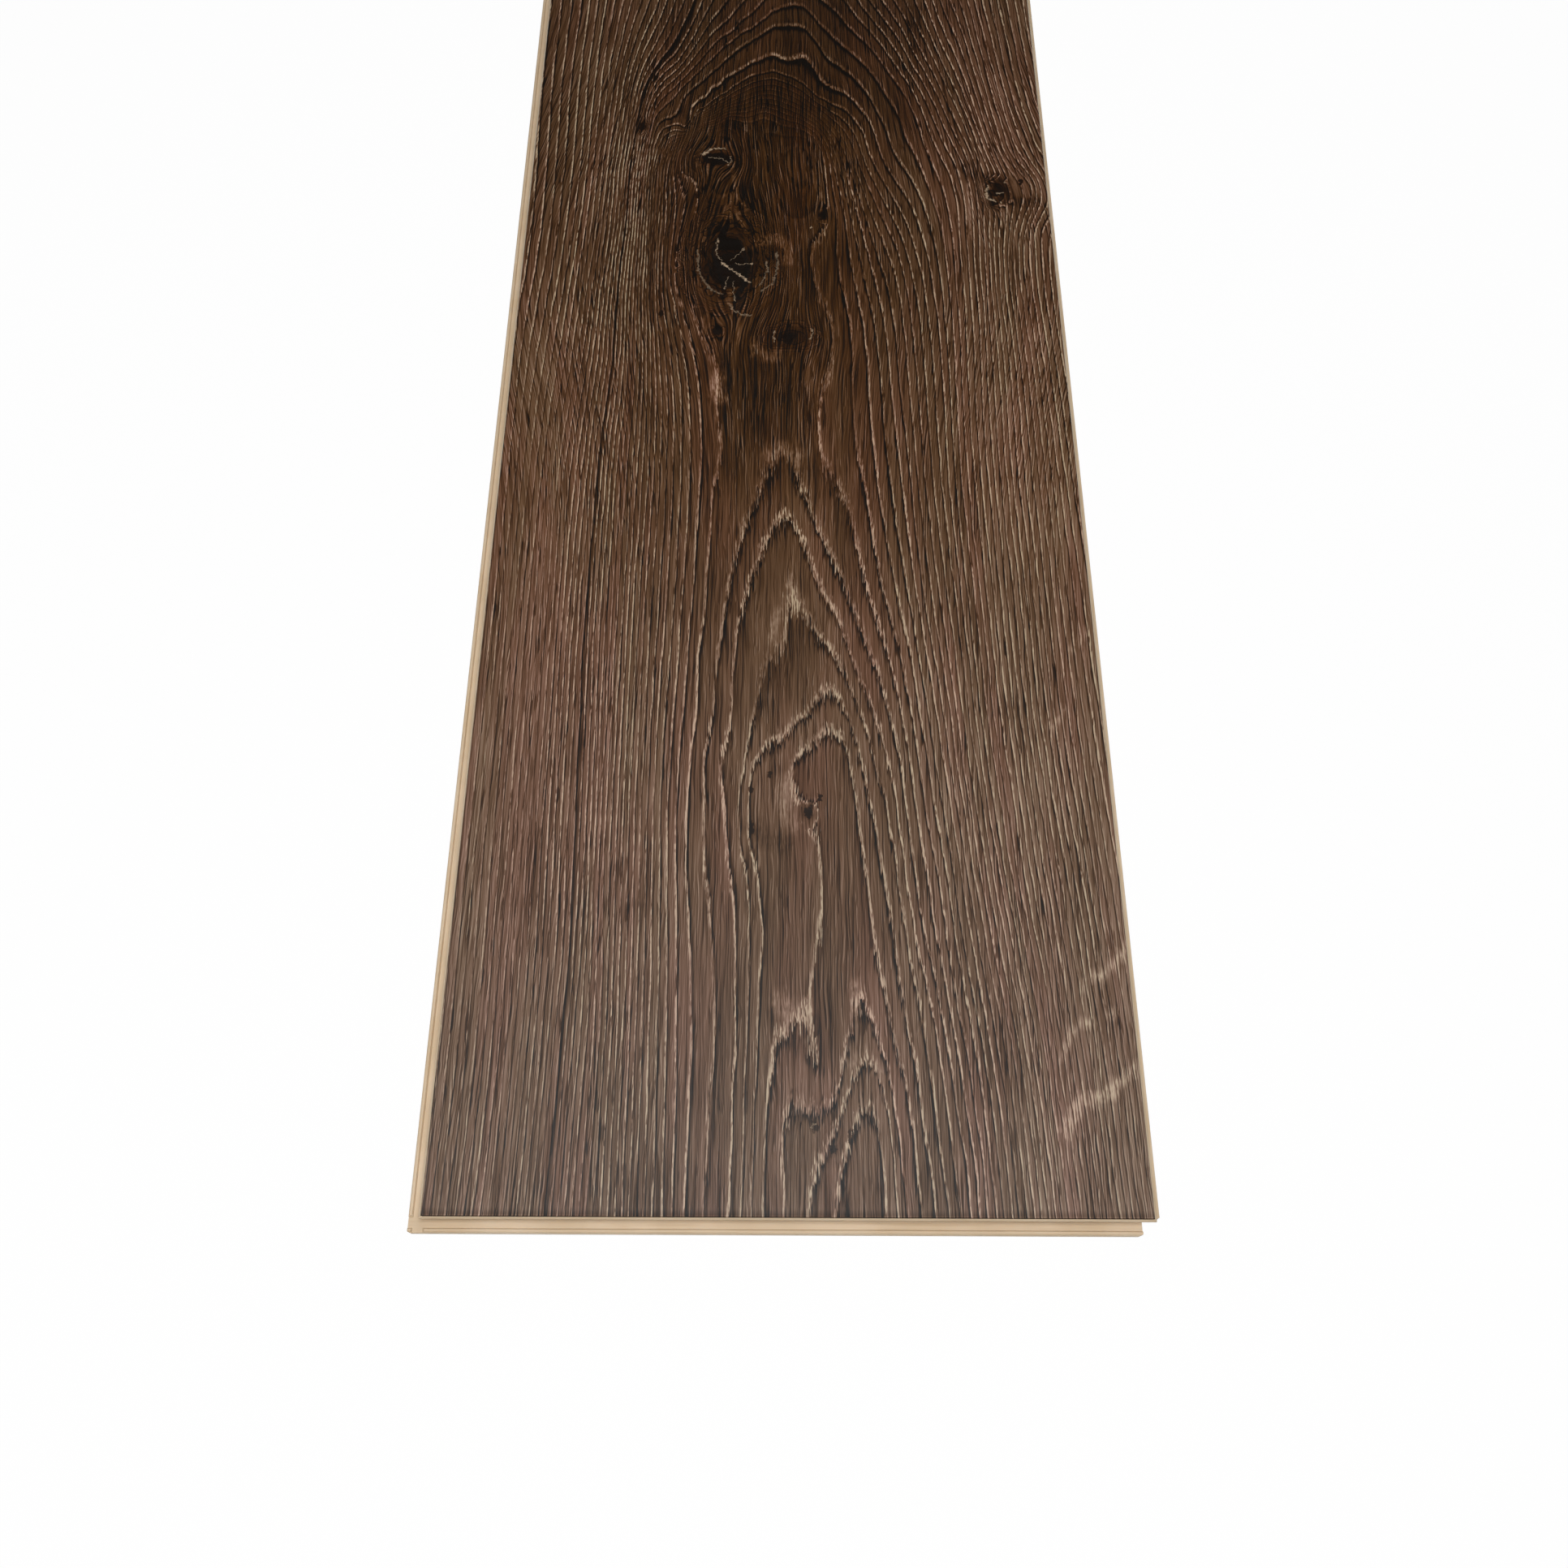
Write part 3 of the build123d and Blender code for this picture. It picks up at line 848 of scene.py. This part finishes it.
def print_tone(finish, fibre, rings, fibres, marked):
    """Tone of the print: plain wood plus what each mark adds, less what the black marks take away."""
    heart = finish.read("heart")
    figure = finish.read("figure")
    fine = finish.sum(
        finish.times(fibres["pore"], pore_tone),
        finish.times(fibres["glint"], glint_tone),
        finish.times(fibres["streak"], streak_tone),
    )
    line = finish.step(rings["pitch"], 2.6, 5.0, line_tone, wide_line_tone)
    ribbon_gain = finish.sum(ribbon_tone, finish.times(rings["dash"], ribbon_dash_tone))
    tone = finish.sum(
        plain_tone,
        finish.times(rings["row"], figure, row_tone),
        finish.times(rings["end"], figure, ring_end_tone),
        finish.times(rings["seam"], seam_tone),
        finish.times(rings["late"], figure, late_tone),
        finish.times(fine, finish.sum(1.0, finish.times(heart, 0.8))),
        finish.times(fibres["line"], finish.sum(line, finish.times(heart, -0.05))),
        finish.times(finish.sum(finish.grain(fibre, broad_size, 7), -0.5), broad_tone),
        # slow tone of the print, partly painted shade from the near end towards the middle
        finish.read("shade"),
        finish.times(heart, heart_tone),
        finish.times(finish.read("halo"), halo_tone),
        finish.times(finish.read("pale"), ribbon_gain),
    )
    black = finish.math("MAXIMUM", finish.read("knot"), darkest_mark(finish, marked))
    tone = finish.times(tone, finish.sum(1.0, finish.times(black, -knot_blacking)))
    # Pressed ends: painted shade for the duller reflection of their slope, and a painted highlight along the
    # brink; the sides show the film's dark cut
    from_end = finish.read("from_end")
    return finish.sum(
        tone,
        finish.step(from_end, end_press - 1.6, end_press + 0.3, end_tone, 0.0),
        finish.step(from_end, 0.15, 0.45, brink_highlight_tone, 0.0),
        finish.step(finish.read("cut"), 0.0, 0.3, 0.0, cut_tone),
    )


def printed_oak():
    """Oak print under a satin wear layer: marks of rings and fibres, tinted, with knots and cracks."""
    finish = Finish(bpy.data.materials.new("printed_dark_oak"))
    straight = finish.read("fibre", "Vector")
    wave = finish.sum(finish.grain(straight, wave_size, 1), -0.5)
    fibre = finish.shift(straight, wave, (wave_reach, 0, 0))
    rings = ring_marks(finish, fibre, wave)
    fibres = fibre_marks(finish, fibre, rings["near_line"])
    marked = wobbled(finish, finish.place_mm())
    wood = finish.ramp(print_tone(finish, fibre, rings, fibres, marked), wood_tones)
    wood = finish.node("HueSaturation", {"Saturation": finish.read("richness"), "Color": wood}).outputs[0]

    # Tint from ring to ring and from place to place, between reddish and olive brown
    tint = finish.sum(
        finish.grain(fibre, tint_size, 8),
        finish.times(rings["tint"], 0.4),
        finish.times(finish.read("blush"), 0.35),
    )
    tint = finish.step(tint, 0.45, 1.08)
    wood = finish.mix(1.0, wood, finish.mix(tint, olive_tint, red_tint), "MULTIPLY")
    wood = finish.mix(cracks(finish, marked), wood, printed(crack_cream))
    # The foot of the cut sides is the film's cream base
    wood = finish.mix(finish.step(finish.read("cut"), 0.58, 0.72), wood, printed(core_cream))
    finish.feed(finish.shader.inputs["Base Color"], wood)

    # Satin wear layer, with the pores and fibres pressed into it
    finish.shader.inputs["Specular IOR Level"].default_value = wear_gloss
    rough = finish.sum(0.44, finish.times(rings["dash"], 0.06), finish.times(fibres["line"], 0.06))
    finish.feed(finish.shader.inputs["Roughness"], rough)
    relief = finish.sum(finish.times(fibres["line"], -0.5), finish.times(fibres["pore"], -0.8))
    dent = finish.node("Bump", {"Strength": 0.4, "Distance": pore_depth * mm, "Height": relief})
    finish.feed(finish.shader.inputs["Normal"], dent.outputs["Normal"])
    return finish.owner


decor = bpy.data.objects.new("printed_film", film_mesh())
bpy.context.collection.objects.link(decor)
decor.data.materials.append(printed_oak())
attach(decor, "root")
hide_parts("decor_layer")

# Floor, light and camera
# A plain pale studio floor, one soft lamp over the near end, a weaker one over the far half, and a dim
# even surround. The camera stands past the near end and looks down along the plank.

floor_size = 9.0         # m
key_place = (-0.05, -0.75, 0.95)  # m
key_size = 0.9           # m
key_power = 9.0          # W
fill_place = (0.1, 0.6, 1.0)  # m
fill_size = 1.2          # m
fill_power = 4.0         # W
surround = 0.06          # strength of the even surround light
floor_white = (250, 250, 249)
seen_white = 0.96        # share of plain white in what the camera sees of the floor
fade_start = 1.0         # m from the plank's middle, where the floor starts to turn all white
fade_end = 3.0           # m

half = floor_size / 2
floor_mesh = bpy.data.meshes.new("studio_floor")
corners = [(-half, -half, 0), (half, -half, 0), (half, half, 0), (-half, half, 0)]
floor_mesh.from_pydata(corners, [], [(0, 1, 2, 3)])
floor = bpy.data.objects.new("studio_floor", floor_mesh)
bpy.context.collection.objects.link(floor)


def seen_directly(finish):
    """1 for rays of the camera, of mirror reflections and through glass, 0 for those that carry light."""
    path = finish.node("LightPath", {}).outputs
    seen = finish.math("MAXIMUM", path["Is Camera Ray"], path["Is Glossy Ray"])
    return finish.math("MAXIMUM", seen, path["Is Transmission Ray"])


def pale_floor():
    """White matt floor that is seen as mostly plain white, with the plank's shadow in the rest.

    The share of plain white grows to all of it far from the plank.
    """
    finish = Finish(bpy.data.materials.new("pale_studio_floor"))
    finish.shader.inputs["Base Color"].default_value = printed(floor_white)
    finish.shader.inputs["Roughness"].default_value = 0.9
    white = finish.node("Emission", {"Color": (1, 1, 1, 1), "Strength": 1.0})
    here = finish.node("TexCoord", {}).outputs["Object"]
    away = finish.node("VectorMath", {0: here}, operation="LENGTH").outputs["Value"]
    white_share = finish.step(away, fade_start, fade_end, seen_white, 1.0)
    share = finish.times(seen_directly(finish), white_share)
    both = finish.node("MixShader", {0: share, 1: finish.shader.outputs[0], 2: white.outputs[0]})
    output = finish.tree.nodes["Material Output"]
    finish.feed(output.inputs["Surface"], both.outputs[0])
    return finish.owner


floor_mesh.materials.append(pale_floor())

scene = bpy.context.scene
scene.view_settings.view_transform = "Standard"


def studio_surround():
    """Dim even light from all round, seen as a plain white backdrop.

    Mirror rays meet the white backdrop only low down, and the dim surround above it.
    """
    sky = Finish(bpy.data.worlds.new("studio_surround"), "Background")
    sky.shader.inputs["Color"].default_value = (1, 1, 1, 1)
    upward = sky.node("SeparateXYZ", {0: sky.node("TexCoord", {}).outputs["Generated"]}).outputs["Z"]
    path = sky.node("LightPath", {}).outputs
    low = sky.times(path["Is Glossy Ray"], sky.step(upward, 0.02, 0.12, 1.0, 0.0))
    seen = sky.math("MAXIMUM", sky.math("MAXIMUM", path["Is Camera Ray"], path["Is Transmission Ray"]), low)
    sky.feed(sky.shader.inputs["Strength"], sky.sum(surround, sky.times(seen, 1.0 - surround)))
    return sky.owner


scene.world = studio_surround()


def soft_lamp(name, place, size, power):
    """Round soft lamp that hangs over the plank and shines straight down."""
    data = bpy.data.lights.new(name, "AREA")
    data.shape = "DISK"
    data.size = size
    data.energy = power
    lamp = bpy.data.objects.new(name, data)
    bpy.context.collection.objects.link(lamp)
    lamp.location = place
    return lamp


soft_lamp("near_lamp", key_place, key_size, key_power)
far_lamp = soft_lamp("far_lamp", fill_place, fill_size, fill_power)
far_lamp.visible_glossy = False

camera_place = (-7.845 * mm, -678.8 * mm, 465.06 * mm)
camera_down = 64.546     # degrees below level
camera_turn = -1.578     # degrees about the upright
camera_roll = 1.893      # degrees about the line of sight
camera_data = bpy.data.cameras.new("camera")
camera_data.lens = 33.0  # mm
camera_data.sensor_width = 36.0  # mm
camera = bpy.data.objects.new("camera", camera_data)
bpy.context.collection.objects.link(camera)
turn = Matrix.Rotation(math.radians(camera_turn), 4, "Z")
tilt = Matrix.Rotation(math.radians(90 - camera_down), 4, "X")
roll = Matrix.Rotation(math.radians(camera_roll), 4, "Z")
camera.matrix_world = Matrix.Translation(camera_place) @ turn @ tilt @ roll
scene.camera = camera
